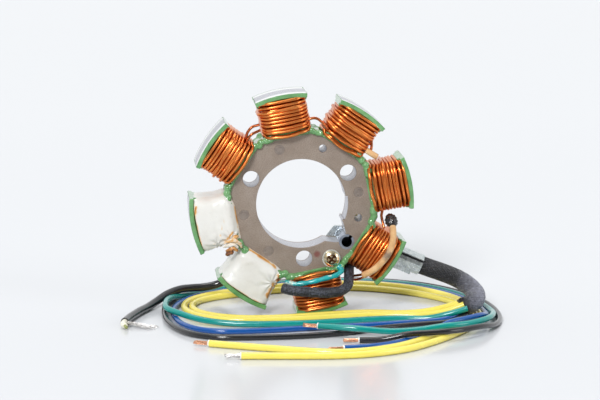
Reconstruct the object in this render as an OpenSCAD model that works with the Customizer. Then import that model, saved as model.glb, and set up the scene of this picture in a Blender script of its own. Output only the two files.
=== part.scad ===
// Magneto stator of a small engine: six bare and two taped coils on a laminated core,
// the two taped ones feed the ignition, with the wiring harness that leaves the rear.
// Origin: centre of the bore at the front face. +X right, +Y front to rear, +Z up.
// The stator stands on its lowest pole face, and the harness lies round it.

/* [Core] */
// Diameter over the machined pole faces
stator_d = 88; // [86:1:90]
// Bore diameter
bore_d = 35.4; // [34:0.2:36]
// Thickness of the whole core, end plates included
core_t = 13; // [12:0.5:14]
// Thickness of each end plate
plate_t = 1.2; // [1:0.1:1.5]
// Distance from the axis to the yoke's flats, where the necks start
yoke_flat = 27; // [26.5:0.1:27.5]
// Width of a pole's neck
neck_w = 10.5; // [9:0.5:11]
// Angle that a pole's tip covers
tip_angle = 26.2; // [26:0.2:28]
// Angle that the tips of the two ignition poles cover
exciter_tip_angle = 28.8; // [28:0.2:30]
// Radial thickness of the laminated tips
tip_t = 2.3; // [2:0.1:2.6]
// Radial thickness of the end plates' bent-up tips
flange_t = 1.25; // [1.2:0.05:1.6]
// How far the bent-up tips stand out of the core's faces
flange_h = 2.9; // [2.4:0.1:3.2]

/* [Mounting] */
// Pitch circle diameter of the three mounting holes
bolt_pcd = 44; // [43.6:0.1:44.4]
// Diameter of the mounting holes
bolt_d = 6.5; // [6.4:0.1:6.6]
// Outside diameter of the slotted spring pin
dowel_d = 6; // [5.8:0.1:6]
// How far the spring pin stands out of the rear face
dowel_out = 2; // [1.5:0.5:3]

/* [Windings] */
// Thickness of the epoxy coating
coat_t = 0.5; // [0.4:0.05:0.6]
// Height of a winding over the coated neck's faces
coil_h = 3.4; // [3:0.1:3.6]
// Height of a winding over the coated neck's sides
coil_w = 3.9; // [3.4:0.1:4]
// Diameter of the enamelled copper wire
copper_d = 1.1; // [1:0.05:1.2]
// Thickness of the tape round the two ignition coils
tape_t = 0.8; // [0.6:0.1:1]
// Width of a taped ignition coil
tape_w = 21.8; // [21:0.2:22]

/* [Harness] */
// Outside diameter of the fabric sleeve
sleeve_d = 7.4; // [7.2:0.1:7.5]
// Outside diameter of the two yellow wires
yellow_d = 2.6; // [2.4:0.1:2.6]
// Outside diameter of the green wire
green_d = 2.4; // [2.2:0.1:2.4]
// Outside diameter of the blue wire
blue_d = 2.2; // [2:0.1:2.2]
// Outside diameter of the black wire
black_d = 2.2; // [2:0.1:2.2]
// Outside diameter of the screened pickup lead
lead_d = 3.2; // [3:0.1:3.2]
// Length of the stripped copper at each wire's end
strip_l = 6; // [5:0.5:7]

/* [Hidden] */
$fn = 64;

stator_r = stator_d / 2;
bore_r = bore_d / 2;
bolt_r = bolt_d / 2;
floor_z = -stator_r;
fit_gap = 0.05;

// Poles, counted from the one just above +X, anticlockwise from the front
pole_n = 8;
pole_first = 10.9;
pole_step = 360 / pole_n;
neck_top = stator_r - tip_t;
flange_in = stator_r - flange_t;
yoke_corner = yoke_flat + 1.6;
rim_out = yoke_flat + 0.8;
rim_in = yoke_flat - 0.4;
rim_lip = 0.7;

// Holes in the core, as [radius from the axis, angle]
bolt_first = 33;
vent_holes = [[23.3, 68.7], [23.3, -14.9]];
vent_r = 1.55;
rivet_places = [[23, 111.4], [23, 10.5], [22.6, 235.6], [22.8, 190.5]];
rivet_r = 1.95;
dowel_place = [23.7, -40.8];
dowel_r = dowel_d / 2;
dowel_slit = 1.3;
dowel_blind = 6;
screw_place = [24.8, -61.7];
screw_r = 1.5;
washer_r = 3.6;
washer_t = 0.6;
head_r = 3;
head_h = 2.1;
recess_w = 0.95;
recess_l = 4;
recess_depth = 1.3;
nut_across = 5.5;
nut_t = 2.4;

// Windings, from the coated rim to the coated tips
coil_r0 = yoke_flat + 2.4;
coil_r1 = neck_top - coat_t - 0.1;
core_mid = -core_t / 2;
coated_h = core_t + 2 * coat_t;
coated_w = neck_w + 2 * coat_t;
coil_corner = 4.2;
tape_r0 = 27;
tape_h = coated_h + 2 * coil_h + 0.2;

// Cable clamp: a crimped barrel behind the lower right coil, on an arm from the rear face
clamp_from = [24, -18.2];
clamp_to = [50.3, -29.6];
clamp_y = 21.9;
clamp_r = 4.4;
clamp_bore_r = sleeve_d / 2 + fit_gap;
clamp_start = 4.5;
clamp_len = norm(clamp_to - clamp_from);
clamp_angle = atan2(clamp_to[1] - clamp_from[1], clamp_to[0] - clamp_from[0]);
clamp_seam = 0.9;
seam_angle = -26;
crimp_from = 13;
crimp_l = 13;
crimp_w = 4.4;
clamp_pole = pole_first - pole_step;
arm_w = 7;
arm_t = 0.8;
riser_r = yoke_flat + 2.1;
riser_t = 1.2;
arm_y = clamp_y - clamp_r;
tab_t = 1.2;

// Sweeps: sides of a thin and of a thick tube, and rings between two route points
thin_sides = 8;
thick_sides = 12;

// Routes lying on the floor: [x, y, height above lying flat]
yellow_a_route = [
  [61.5, -16.8, 6], [54, -14.8, 3.2], [46, -11.5, 1], [37, -8.5, 0], [28, -6.5, 0], [19, -6.5, 0],
  [9, -8.5, 0], [-2, -11, 0], [-14, -12.5, 0], [-25, -11.5, 0], [-34, -7, 0], [-40.5, 1, 0],
  [-42.5, 11, 0], [-40, 20, 0], [-33, 27, 0], [-23, 32.5, 0], [-10, 37.5, 0], [4, 41, 0],
  [18, 42, 0], [30, 39.5, 0], [41, 34, 0], [51, 26, 0], [59.5, 15, 0], [64.5, 3, 0],
  [66, -9, 0], [64, -20, 0], [58.5, -31, 0], [50.5, -42, 0], [41, -53, 0], [31, -62.5, 0],
  [20, -68.5, 0], [8, -70.5, 0], [-4, -67.5, 0], [-16, -62.5, 0], [-28, -57.5, 0], [-39, -52.5, 0]
];
yellow_b_route = [
  [61.8, -19.4, 5.4], [54, -17.8, 2.2], [45.5, -14.5, 0.4], [37, -12, 0], [27, -10.5, 0], [17, -11, 0],
  [8, -12.5, 0], [-3, -15, 0], [-15, -16, 0], [-27, -15, 0], [-37, -10, 0], [-43.5, -1, 0],
  [-45.8, 10, 0], [-43.3, 21.5, 0], [-36.3, 30.3, 0], [-26, 37.3, 0], [-12, 43.5, 0], [4, 48, 0],
  [19, 49.5, 0], [33, 47, 0], [45, 41, 0], [55, 31.5, 0], [63, 19, 0], [67.5, 5, 0],
  [69, -9, 0], [67, -22, 0], [61.8, -34, 0], [53.5, -46, 0], [44, -57.5, 0], [33, -67.5, 0],
  [20, -73.5, 0], [7, -75.5, 0], [-6, -75, 0], [-17, -74, 0], [-28.5, -73, 0]
];
blue_route = [
  [62.4, -18, 2.8], [54, -22, 0.6], [45, -22.8, 0], [35, -25, 0], [24, -27, 0], [12, -28.5, 0],
  [0, -30, 0], [-12, -32, 0], [-24, -33, 0], [-34, -32.5, 0], [-42, -28, 0], [-47.5, -19, 0],
  [-49.8, -8, 0], [-50.4, 3, 0], [-48.7, 14, 0], [-44.8, 24, 0], [-37.7, 33.3, 0], [-27, 40.5, 0],
  [-13, 46.6, 0], [3, 51, 0], [19, 52.5, 0], [33, 50, 0], [46, 44, 0], [56.5, 35, 0],
  [65, 22, 0], [70, 7, 0], [71.6, -7, 0], [71, -17, 0.8], [67.5, -25, 2.6], [60.5, -31, 2.7],
  [53, -35.5, 2.2], [45.5, -42.5, 0], [38, -50.5, 0], [30.5, -57, 0], [21, -61.5, 0], [10, -63.5, 0]
];
green_route = [
  [62.8, -21.3, 4.4], [55, -20.8, 2.1], [47, -18.8, 0.2], [37, -17, 0], [26, -17.5, 0], [15, -19.5, 0],
  [4, -21.5, 0], [-8, -22.5, 0], [-20, -22, 0], [-31, -20, 0.2], [-41, -16, 1], [-48.5, -10, 2.2],
  [-53, -2, 2.5], [-53, 9, 2.4], [-51, 18.5, 2], [-46, 28.5, 0.6], [-38, 37.5, 0], [-26.5, 44.5, 0],
  [-12, 50.2, 0], [4, 54, 0], [20, 55.3, 0], [34, 52.8, 0], [47.5, 46.5, 0], [58.5, 37, 0],
  [67, 23.5, 0], [72.3, 8, 0], [74.2, -7, 0.3], [73, -20, 1.6], [68.5, -32, 2.6], [60, -39.5, 2.6],
  [50.5, -43, 2.7], [40, -44, 1.6], [29, -43.5, 1.2], [16, -42.5, 2.4], [3, -37.5, 2.4]
];
black_route = [
  [62.8, -20, 1.8], [55.5, -24.5, 0.2], [46, -27, 0], [35, -30, 0], [24, -34, 0], [12, -39.5, 0],
  [-1, -42.5, 0], [-13, -43.5, 0], [-25, -43.5, 0], [-36, -42, 0], [-45, -35.5, 0], [-50.5, -24.5, 0],
  [-53.2, -12, 0], [-53.8, 0, 0], [-53.4, 12, 0], [-51.5, 22, 0], [-47.5, 31.5, 0], [-39.5, 40.5, 0],
  [-27.5, 47.5, 0], [-12.5, 53.5, 0], [4, 57, 0], [20, 58, 0], [35, 55.5, 0], [49, 49, 0],
  [60, 39.5, 0], [69.5, 25, 0], [74.8, 9, 0], [76.5, -6, 0], [75.7, -19.5, 0], [72, -31.5, 0.4],
  [65, -42, 2.2], [55, -49.5, 2.6], [45, -52.5, 2.6], [35.5, -53.5, 2.4], [26, -52.5, 0.4], [17, -51.5, 0]
];

// Routes in space: [x, y, z]
sleeve_route = [
  [26.5, 21.9, -19.3], [32.5, 21.9, -21.9], [38.4, 21.9, -24.45], [44.4, 21.9, -27], [50.3, 21.9, -29.6],
  [54, 21.6, -31], [58.6, 19.9, -32.4], [62.6, 16.3, -33.5], [65.5, 11.8, -34.4], [67.4, 6.4, -35.2],
  [68.5, 0.6, -35.9], [68.7, -5.2, -36.5], [67.6, -10.8, -37.1], [65, -15.8, -37.7], [61.5, -19.2, -38.2]
];
lead_route = [
  [-21, 18.8, -27], [-21.4, 22.5, -28.5], [-22.4, 26.5, -31], [-24.4, 30, -34], [-27.6, 32.4, -36.8],
  [-32, 33.4, -38.8], [-37, 32.8, -39.6], [-42, 30.6, -39.4], [-47, 27.2, -39.2], [-52, 22.6, -40],
  [-56.4, 17, -41.6], [-60, 10.5, -42.4], [-63, 4, -42.4], [-65.8, -3, -42.4], [-68, -9.5, -42.4],
  [-69.6, -15.5, -42.4]
];
dielectric_route = [[-69.6, -15.5, -42.4], [-70.2, -18.5, -42.5], [-69.6, -21.5, -42.6]];
conductor_route = [[-69.6, -21.5, -42.6], [-69, -23.2, -42.9]];
shield_routes = [
  [[-68.6, -16.4, -43.3], [-64.5, -18.5, -43.3], [-60.5, -17.6, -43.4], [-56.5, -19, -43.4]],
  [[-68.8, -18, -43.2], [-65.5, -22, -43.4], [-61, -23.5, -43.4], [-56.8, -26, -43.4]],
  [[-69.2, -17.2, -43.4], [-66.8, -20.6, -43.4], [-63.6, -20.8, -43.4], [-60, -22, -43.4]]
];
shield_d = 1;

ground_wire_route = [
  [14.6, -1.6, -24.9], [15.6, -2.8, -26.4], [13.1, -4, -28.1], [8.7, -5, -29], [3.5, -5, -30.3],
  [-2.4, -4.4, -31.2], [-4.4, -3.4, -31], [-6.2, -2.4, -30.8]
];
ground_wire_d = 2;
woven_route = [
  [19.5, 9, -25.5], [19.4, 5, -26.2], [19, 1.5, -27.4], [18.6, -2, -29.6], [17.6, -5.2, -32.2],
  [14, -6.6, -34], [8, -6.8, -34.3], [1, -6.8, -33.8], [-4.2, -6.4, -33.2], [-7.6, -4.6, -32.6]
];
woven_d = 4;
lead_sleeving_route = [
  [35.1, -6.4, -7.6], [35.5, -6.8, -11.4], [35, -6.9, -15.5], [33.4, -6.9, -19.5], [30.6, -6.7, -23],
  [27.4, -6, -26], [23.9, -4.6, -28.1]
];
lead_sleeving_d = 2.6;
cap_route = [[34.5, -3.6, -5.4], [34.9, -5.2, -6.6], [35.1, -6.4, -8]];
cap_d = 4.4;
coil_lead_routes = [
  [[23.9, -4.6, -27.7], [21.6, -2, -28.6], [19.8, 1.5, -29.4], [19, 6, -29.6]],
  [[23.9, -4.6, -28.9], [22.2, -1, -30.4], [20.8, 3, -31.2], [20, 7, -31.2]]
];
jumper_routes = [
  [[-21.6, -1, 25.6], [-21.2, -2.4, 28.6], [-19.4, -2.8, 30.9], [-16.6, -1.6, 31.6]],
  [[-21.6, -2, 24.6], [-19.9, -3.4, 27.9], [-16.2, -2.4, 29.6]],
  [[0.4, -1.6, 31.6], [2.7, -2.8, 33.7], [5.5, -2.9, 34.1], [7.9, -2.6, 32.4], [10.2, -2.4, 29.8]],
  [[27.3, -1, 25.4], [27.4, -1.3, 22.6], [27, -1, 20.4]],
  [[32.2, -0.8, -2], [31.5, -1, -4.8], [31.9, -1.6, -7.4], [32.4, -2.6, -9.8]]
];
splice_route = [[25.3, -1, 21.1], [27.4, -1.2, 19.7], [29.6, -1, 18.3]];
splice_d = 2.4;

// Leads at the rear, from the clamp's inner end to the coils
rear_d = 2;
rear_yellow_a_route = [
  [26.3, 23, -18.4], [24, 19.8, -13], [26.4, 16.6, -6.6], [27.6, 15.4, 0], [29.6, 15.6, 4.6]
];
rear_yellow_b_route = [
  [26.2, 21.4, -18], [22.4, 19.2, -11.4], [24.3, 17, -4.6], [25.7, 16.4, 3], [24.9, 16, 10],
  [21.8, 15.8, 16.4], [18.4, 15.9, 21.2], [16.6, 16.2, 24.8]
];
rear_green_route = [
  [26.1, 20.4, -19.8], [22.8, 18.6, -20.6], [18.4, 17, -20.9], [14.6, 15.8, -21]
];
rear_blue_route = [
  [26.2, 21.6, -20.6], [21, 19.4, -22.8], [14, 17.2, -24.8], [6, 16.2, -26.4], [-2, 16.6, -26.9], [-9, 18.2, -25.4],
  [-15.5, 18.3, -22], [-20.6, 18.3, -17.2], [-25, 18.2, -10.8], [-27.6, 17.2, -7.2]
];
rear_black_route = [
  [26.3, 23, -20], [19, 21, -24.8], [11, 18.8, -27.4], [3, 18, -28.9], [-4, 18, -28.8], [-10, 18.4, -28.2],
  [-14.5, 17.2, -26.4]
];

function rotated(v, a) = [v[0] * cos(a) - v[1] * sin(a), v[0] * sin(a) + v[1] * cos(a)];

// Curves: a smooth line through the route's points
function spline_point(a, b, c, d, t) =
  0.5 * (2 * b + (c - a) * t + (2 * a - 5 * b + 4 * c - d) * t * t + (3 * b - a - 3 * c + d) * t * t * t);
function padded(p) = concat([2 * p[0] - p[1]], p, [2 * p[len(p) - 1] - p[len(p) - 2]]);
function smooth(p, k) =
  let (q = padded(p))
  concat(
    [for (i = [0 : len(p) - 2]) for (j = [0 : k - 1]) spline_point(q[i], q[i + 1], q[i + 2], q[i + 3], j / k)],
    [p[len(p) - 1]]
  );
function kept_up(p, r) = [for (q = p) [q[0], q[1], max(q[2], floor_z + r)]];
function laid(p, d) = [for (q = p) [q[0], q[1], floor_z + d / 2 + q[2]]];

// Sweep frames, each turned as little as possible from the one before
function unit(v) = v / norm(v);
function tangent(p, i) = unit(p[min(i + 1, len(p) - 1)] - p[max(i - 1, 0)]);
function square_to(v, t) = unit(v - (v * t) * t);
function first_normal(t) = square_to(abs(t[2]) < 0.9 ? [0, 0, 1] : [1, 0, 0], t);
function normals(p, i = 0, found = []) =
  i == len(p) ? found :
  normals(p, i + 1, concat(found, [i == 0 ? first_normal(tangent(p, 0)) : square_to(found[i - 1], tangent(p, i))]));

module tube(p, d, sides = thin_sides) {
  n = normals(p);
  rings = len(p);
  points = [
    for (i = [0 : rings - 1]) let (t = tangent(p, i), b = cross(t, n[i]))
      for (s = [0 : sides - 1]) p[i] + d / 2 * (cos(360 * s / sides) * n[i] + sin(360 * s / sides) * b)
  ];
  walls = [
    for (i = [0 : rings - 2]) for (s = [0 : sides - 1])
      let (a = i * sides + s, b = i * sides + (s + 1) % sides)
        each [[a, a + sides, b], [b, a + sides, b + sides]]
  ];
  start = [for (s = [0 : sides - 1]) s];
  end = [for (s = [sides - 1 : -1 : 0]) (rings - 1) * sides + s];
  polyhedron(points, concat(walls, [start, end]), convexity = 10);
}

module floor_wire(route, d) {
  tube(kept_up(smooth(laid(route, d), 2), d / 2), d);
}

module strands(route, d, core_d) {
  p = laid(route, d);
  last = p[len(p) - 1];
  dir = unit(last - p[len(p) - 2]);
  tube([last, last + strip_l / 2 * dir, last + strip_l * dir], core_d);
}

// Placing: the stator is drawn flat, front up, and stood upright
module upright() {
  rotate([90, 0, 0]) children();
}
module at_pole(i) {
  rotate([0, 0, pole_first + pole_step * i]) children();
}
module at_place(p) {
  rotate([0, 0, p[1]]) translate([p[0], 0, 0]) children();
}
module all_poles() {
  for (i = [0 : pole_n - 1]) let ($half = (i == 4 || i == 5 ? exciter_tip_angle : tip_angle) / 2) at_pole(i) children();
}

// Flat shapes
module octagon(flat) {
  rotate(pole_first + pole_step / 2) circle(r = flat / cos(pole_step / 2), $fn = pole_n);
}
module yoke_outline(flat) {
  intersection() {
    octagon(flat);
    circle(r = flat + yoke_corner - yoke_flat, $fn = 128);
  }
}
module sector(r0, r1, half) {
  intersection() {
    difference() {
      circle(r = r1, $fn = 256);
      circle(r = r0, $fn = 256);
    }
    polygon([[0, 0], [2 * r1 * cos(half), -2 * r1 * sin(half)], [2 * r1 * cos(half), 2 * r1 * sin(half)]]);
  }
}
module rounded(w, h, r) {
  square([w - 2 * r, h], center = true);
  square([w, h - 2 * r], center = true);
  for (x = [-1, 1]) for (y = [-1, 1]) translate([x * (w / 2 - r), y * (h / 2 - r)]) circle(r = r);
}
module bore_outline() {
  circle(r = bore_r, $fn = 128);
  // Shallow relief in the right wall
  rotate(-6) sector(bore_r - 2, bore_r + 0.8, 15);
  // Notch that opens the spring pin's hole
  polygon([[8.6, -15], [13.2, -15.7], [17.2, -15.5], [17.6, -11.4], [16.5, -7.4], [10, -6], [6, -10]]);
}
module core_holes() {
  for (i = [0 : 2]) at_place([bolt_pcd / 2, bolt_first + 120 * i]) circle(r = bolt_r);
  for (p = vent_holes) at_place(p) circle(r = vent_r);
  for (p = rivet_places) at_place(p) circle(r = rivet_r);
  at_place(dowel_place) circle(r = dowel_r);
  at_place(screw_place) circle(r = screw_r);
}
module lamination() {
  difference() {
    union() {
      yoke_outline(yoke_flat);
      all_poles() {
        translate([yoke_flat - 2, -neck_w / 2]) square([neck_top - yoke_flat + 3, neck_w]);
        sector(neck_top, stator_r, $half);
      }
    }
    bore_outline();
    core_holes();
  }
}

// Core
module lamination_stack() {
  color("lightgray") upright()
    translate([0, 0, plate_t - core_t]) linear_extrude(core_t - 2 * plate_t) lamination();
}
module end_plate() {
  linear_extrude(plate_t) lamination();
  all_poles() linear_extrude(plate_t + flange_h) sector(flange_in, stator_r, $half);
}
module front_end_plate() {
  color([0.55, 0.5, 0.46]) upright() translate([0, 0, -plate_t]) end_plate();
}
module rear_end_plate() {
  color([0.55, 0.5, 0.46]) upright()
    translate([0, 0, plate_t - core_t]) mirror([0, 0, 1]) end_plate();
}
module core_rivets() {
  color([0.5, 0.46, 0.42]) upright() for (p = rivet_places) at_place(p) {
    translate([0, 0, -core_t]) cylinder(r = rivet_r, h = core_t - 0.2);
    translate([0, 0, -0.2]) cylinder(r = rivet_r / 2, h = 0.35);
  }
}
module spring_pin() {
  length = core_t + dowel_out;
  color([0.5, 0.53, 0.58]) upright() at_place(dowel_place) translate([0, 0, -length])
    difference() {
      cylinder(r = dowel_r, h = length);
      translate([0, 0, dowel_blind]) cylinder(r = dowel_r - 0.95, h = length);
      rotate([0, 0, 95]) translate([0, -dowel_slit / 2, dowel_blind]) cube([dowel_r + 1, dowel_slit, length]);
    }
}

// Ground screw and what it holds
module ground_lug() {
  color("silver") upright() at_place(screw_place) difference() {
    union() {
      cylinder(r = washer_r - 0.2, h = washer_t);
      rotate([0, 0, 12]) translate([0, -1.2, 0]) cube([5, 2.4, washer_t]);
    }
    translate([0, 0, -1]) cylinder(r = screw_r, h = washer_t + 2);
  }
}
module ground_washer() {
  color("whitesmoke") upright() at_place(screw_place) translate([0, 0, washer_t]) difference() {
    cylinder(r = washer_r, h = washer_t);
    translate([0, 0, -1]) cylinder(r = screw_r, h = washer_t + 2);
  }
}
module ground_screw() {
  below = core_t + tab_t + nut_t + 1;
  color([0.75, 0.65, 0.4]) upright() at_place(screw_place) {
    translate([0, 0, -below]) cylinder(r = screw_r, h = below + 2 * washer_t);
    translate([0, 0, 2 * washer_t]) difference() {
      intersection() {
        cylinder(r = head_r, h = head_h);
        translate([0, 0, head_h - 5]) sphere(r = 5);
      }
      for (a = [20, 110]) rotate([0, 0, a]) translate([-recess_l / 2, -recess_w / 2, head_h - recess_depth])
        cube([recess_l, recess_w, recess_depth + 1]);
    }
  }
}
module ground_nut() {
  color("silver") upright() at_place(screw_place) translate([0, 0, -core_t - tab_t - nut_t]) difference() {
    cylinder(r = nut_across / 2 / cos(30), h = nut_t, $fn = 6);
    translate([0, 0, -1]) cylinder(r = screw_r, h = nut_t + 2);
  }
}
module ground_wire() {
  color("darkturquoise") tube(smooth(ground_wire_route, 3), ground_wire_d);
}

// Epoxy coating
module neck_block(grow, from, to) {
  translate([from, -neck_w / 2 - grow, -core_t - grow]) cube([to - from, neck_w + 2 * grow, core_t + 2 * grow]);
}
module tips(grow, angle_grow, reach) {
  translate([0, 0, -core_t - grow]) linear_extrude(core_t + 2 * grow)
    sector(neck_top - grow, reach, $half + angle_grow);
  translate([0, 0, -core_t - flange_h - grow]) linear_extrude(core_t + 2 * (flange_h + grow))
    sector(flange_in - grow, reach, $half + angle_grow);
}
module pole_coating() {
  edge_angle = 0.6;
  color([0.35, 0.62, 0.35]) upright() all_poles() difference() {
    union() {
      neck_block(coat_t, yoke_flat, neck_top);
      tips(coat_t, edge_angle, stator_r);
    }
    neck_block(0, yoke_flat - 1, neck_top + 1);
    tips(0, 0, stator_r + 1);
  }
}
module rim_coating() {
  color([0.35, 0.62, 0.35]) upright() difference() {
    translate([0, 0, -core_t - rim_lip]) linear_extrude(core_t + 2 * rim_lip) yoke_outline(rim_out);
    translate([0, 0, -core_t]) linear_extrude(core_t) yoke_outline(yoke_flat);
    translate([0, 0, -core_t - 1]) linear_extrude(core_t + 2) yoke_outline(rim_in);
    all_poles() neck_block(coat_t, yoke_flat, neck_top);
    // Room for the clamp's tab, the lug and the screw
    translate([0, 0, -core_t - 1]) linear_extrude(1) tab_outline(0.4);
    translate([0, 0, 0]) at_place(screw_place) cylinder(r = washer_r + 0.2, h = 1);
    at_place(screw_place) rotate([0, 0, 12]) translate([0, -1.4, 0]) cube([5.2, 2.8, 1]);
  }
}

// Windings
module winding_block(r0, r1, h, w) {
  translate([r0, 0, core_mid]) rotate([0, 90, 0]) linear_extrude(r1 - r0) rounded(h, w, coil_corner);
}
module winding(i, h, w) {
  upright() at_pole(i) difference() {
    winding_block(coil_r0, coil_r1, h, w);
    neck_block(coat_t, yoke_flat, stator_r);
  }
}
module copper_winding(i) {
  color([0.72, 0.38, 0.16]) winding(i, coated_h + 2 * coil_h, coated_w + 2 * coil_w);
}
module winding_right() { copper_winding(0); }
module winding_upper_right() { copper_winding(1); }
module winding_top() { copper_winding(2); }
module winding_upper_left() { copper_winding(3); }
module winding_bottom() { copper_winding(6); }
module winding_lower_right() { copper_winding(7); }
module exciter_coil(i) {
  color([0.6, 0.3, 0.12]) winding(i, tape_h - 2 * tape_t, tape_w - 2 * tape_t);
}
module exciter_coil_left() { exciter_coil(4); }
module exciter_coil_lower_left() { exciter_coil(5); }
module coil_tape(i) {
  color([0.93, 0.92, 0.88]) upright() difference() {
    at_pole(i) winding_block(tape_r0, coil_r1, tape_h, tape_w);
    at_pole(i) winding_block(coil_r0, coil_r1 + 1, tape_h - 2 * tape_t, tape_w - 2 * tape_t);
    at_pole(i) neck_block(coat_t, yoke_flat, stator_r);
    translate([0, 0, -core_t - rim_lip]) linear_extrude(core_t + 2 * rim_lip) yoke_outline(rim_out);
  }
}
module coil_tape_left() { coil_tape(4); }
module coil_tape_lower_left() { coil_tape(5); }
module tape_varnish() {
  color([0.75, 0.45, 0.15]) upright() difference() {
    hull() for (p = [[29.2, 210, 1.8], [31, 212.5, 2], [33.4, 214, 1.6]])
      rotate([0, 0, p[1]]) translate([p[0], 0, 3]) sphere(r = p[2], $fn = 18);
    for (i = [4, 5]) at_pole(i) winding_block(tape_r0, coil_r1, tape_h, tape_w);
    translate([0, 0, -core_t - rim_lip]) linear_extrude(core_t + 2 * rim_lip) yoke_outline(rim_out);
  }
}

// Small leads and sleeving on the coils
module coil_jumpers() {
  color([0.55, 0.27, 0.1]) for (r = jumper_routes) tube(smooth(r, 3), copper_d);
}
module splice_sleeve() {
  color([0.55, 0.35, 0.2]) tube(smooth(splice_route, 2), splice_d);
}
module lead_sleeving() {
  color([0.8, 0.6, 0.4]) tube(smooth(lead_sleeving_route, 2), lead_sleeving_d);
}
module sleeving_cap() {
  color([0.15, 0.14, 0.14]) tube(smooth(cap_route, 2), cap_d, thick_sides);
}
module coil_lead() {
  color([0.2, 0.1, 0.08]) for (r = coil_lead_routes) tube(smooth(r, 2), copper_d);
}
module woven_sleeving() {
  color([0.12, 0.12, 0.13]) tube(smooth(woven_route, 3), woven_d, thick_sides);
}

// Cable clamp
module tab_outline(grow) {
  intersection() {
    polygon([
      [8 - grow, -19.2 + grow], [14.2, -11.4 + grow], [21.6 + grow, -11.4 + grow],
      [26 + grow, -16], [21 + grow, -24 - grow], [14, -26.6 - grow], [8 - grow, -25 - grow]
    ]);
    rotate(clamp_pole) translate([0, -arm_w]) square([riser_r + grow, 2 * arm_w]);
  }
}
module along_clamp(y) {
  translate([clamp_from[0], clamp_from[1], -y]) rotate([0, 0, clamp_angle]) children();
}
module arm_outline() {
  hand = arm_w / 2;
  a = clamp_from + rotated([clamp_start + 4, hand], clamp_angle);
  b = clamp_from + rotated([clamp_start + 4, -hand], clamp_angle);
  c = rotated([riser_r - riser_t, -hand], clamp_pole);
  d = rotated([riser_r - riser_t, hand], clamp_pole);
  polygon([a, b, c, d]);
}
module cable_clamp() {
  color([0.82, 0.84, 0.83]) upright() difference() {
    union() {
      translate([0, 0, -core_t - tab_t]) linear_extrude(tab_t) tab_outline(0);
      rotate([0, 0, clamp_pole]) translate([riser_r - riser_t, -arm_w / 2, -arm_y - arm_t])
        cube([riser_t, arm_w, arm_y + arm_t - core_t]);
      translate([0, 0, -arm_y - arm_t]) linear_extrude(arm_t) arm_outline();
      along_clamp(clamp_y) rotate([0, 90, 0]) translate([0, 0, clamp_start])
        cylinder(r = clamp_r, h = clamp_len - clamp_start, $fn = 10);
      // Overlapped edge of the rolled sheet
      along_clamp(clamp_y) rotate([105, 0, 0]) translate([crimp_from, -crimp_w / 2, clamp_bore_r - 0.4])
        cube([crimp_l, crimp_w, 1.5]);
    }
    along_clamp(clamp_y) rotate([0, 90, 0]) translate([0, 0, 1]) cylinder(r = clamp_bore_r, h = clamp_len);
    along_clamp(clamp_y) rotate([seam_angle, 0, 0]) translate([clamp_start - 1, -clamp_seam / 2, clamp_bore_r - 1])
      cube([clamp_len, clamp_seam, 3]);
    translate([0, 0, -core_t - 8]) at_place(screw_place) cylinder(r = screw_r, h = 9);
    translate([0, 0, -core_t - 8]) at_place(dowel_place) cylinder(r = dowel_r, h = 9);
  }
}

// Harness
module harness_sleeve() {
  color([0.16, 0.16, 0.18]) tube(smooth(sleeve_route, 2), sleeve_d, thick_sides);
}
module rear_lead(route) {
  tube(smooth(route, 3), rear_d);
}
module rear_lead_yellow_a() { color("gold") rear_lead(rear_yellow_a_route); }
module rear_lead_yellow_b() { color("gold") rear_lead(rear_yellow_b_route); }
module rear_lead_green() { color("teal") rear_lead(rear_green_route); }
module rear_lead_blue() { color("royalblue") rear_lead(rear_blue_route); }
module rear_lead_black() { color([0.1, 0.1, 0.1]) rear_lead(rear_black_route); }
module yellow_wire_a() { color("gold") floor_wire(yellow_a_route, yellow_d); }
module yellow_wire_b() { color("gold") floor_wire(yellow_b_route, yellow_d); }
module green_wire() { color("teal") floor_wire(green_route, green_d); }
module blue_wire() { color("royalblue") floor_wire(blue_route, blue_d); }
module black_wire() { color([0.1, 0.1, 0.1]) floor_wire(black_route, black_d); }
module yellow_strands_a() { color([0.8, 0.5, 0.35]) strands(yellow_a_route, yellow_d, 1.5); }
module yellow_strands_b() { color([0.8, 0.5, 0.35]) strands(yellow_b_route, yellow_d, 1.5); }
module green_strands() { color([0.8, 0.5, 0.35]) strands(green_route, green_d, 1.4); }
module blue_strands() { color([0.8, 0.5, 0.35]) strands(blue_route, blue_d, 1.2); }
module black_strands() { color([0.8, 0.5, 0.35]) strands(black_route, black_d, 1.3); }
module pickup_lead() {
  color([0.12, 0.12, 0.14]) tube(smooth(lead_route, 2), lead_d);
}
module lead_dielectric() {
  color([0.9, 0.92, 0.85]) tube(smooth(dielectric_route, 2), 2.4);
}
module lead_conductor() {
  color([0.6, 0.6, 0.3]) tube(smooth(conductor_route, 1), 1.2);
}
module lead_shield() {
  color("silver") for (r = shield_routes) tube(smooth(r, 2), shield_d);
}

lamination_stack();
front_end_plate();
rear_end_plate();
core_rivets();
spring_pin();
ground_screw();
ground_washer();
ground_lug();
ground_nut();
ground_wire();
pole_coating();
rim_coating();
winding_right();
winding_upper_right();
winding_top();
winding_upper_left();
exciter_coil_left();
exciter_coil_lower_left();
winding_bottom();
winding_lower_right();
coil_tape_left();
coil_tape_lower_left();
tape_varnish();
coil_jumpers();
splice_sleeve();
lead_sleeving();
sleeving_cap();
coil_lead();
woven_sleeving();
cable_clamp();
harness_sleeve();
rear_lead_yellow_a();
rear_lead_yellow_b();
rear_lead_green();
rear_lead_blue();
rear_lead_black();
yellow_wire_a();
yellow_wire_b();
green_wire();
blue_wire();
black_wire();
yellow_strands_a();
yellow_strands_b();
green_strands();
blue_strands();
black_strands();
pickup_lead();
lead_dielectric();
lead_conductor();
lead_shield();
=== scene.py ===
"""Looks of the magneto stator and its harness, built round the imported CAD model."""
import math

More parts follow.
